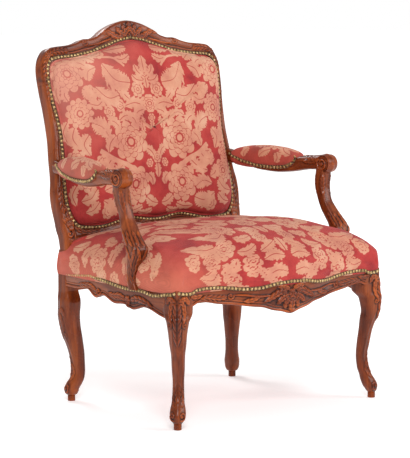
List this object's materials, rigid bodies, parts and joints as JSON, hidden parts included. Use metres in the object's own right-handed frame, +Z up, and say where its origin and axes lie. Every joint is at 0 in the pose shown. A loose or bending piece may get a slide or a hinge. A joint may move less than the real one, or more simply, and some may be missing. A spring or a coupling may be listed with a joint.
{
  "type": "upholstered armchair",
  "caption": "Upholstered open armchair: raked flat back, padded seat and arms, scrolled arm supports, shaped rails, cabriole legs",
  "frame": {"origin": "on the floor, under the middle of the overall box", "axes": "+Z up; +X towards the sitter's left arm; -Y the way the sitter faces"},
  "size_m": [0.73, 0.6566, 0.9487],
  "materials": {
    "walnut": "waxed red-brown walnut",
    "beech": "plain unstained hardwood",
    "damask": "woven red and salmon damask",
    "webbing": "jute webbing",
    "burlap": "coarse burlap"
  },
  "bodies": {
    "root": {"front_leg_right": "walnut", "front_leg_left": "walnut", "back_post_right": "walnut", "back_post_left": "walnut", "crest_rail": "walnut", "lower_back_rail": "walnut", "front_seat_rail": "walnut", "side_seat_rail_right": "walnut", "side_seat_rail_left": "walnut", "rear_seat_rail": "walnut", "arm_right": "walnut", "arm_left": "walnut", "arm_support_right": "walnut", "arm_support_left": "walnut", "front_corner_brace_right": "beech", "front_corner_brace_left": "beech", "rear_corner_brace_right": "beech", "rear_corner_brace_left": "beech", "seat_frame_pegs": "beech", "back_frame_pegs": "beech", "arm_pegs": "beech", "seat_webbing": "webbing", "seat_burlap": "burlap", "seat_cushion": "damask", "back_webbing": "webbing", "back_burlap": "burlap", "back_outside_cloth": "damask", "back_cushion": "damask", "arm_pad_right": "damask", "arm_pad_left": "damask"}
  },
  "joints": []
}
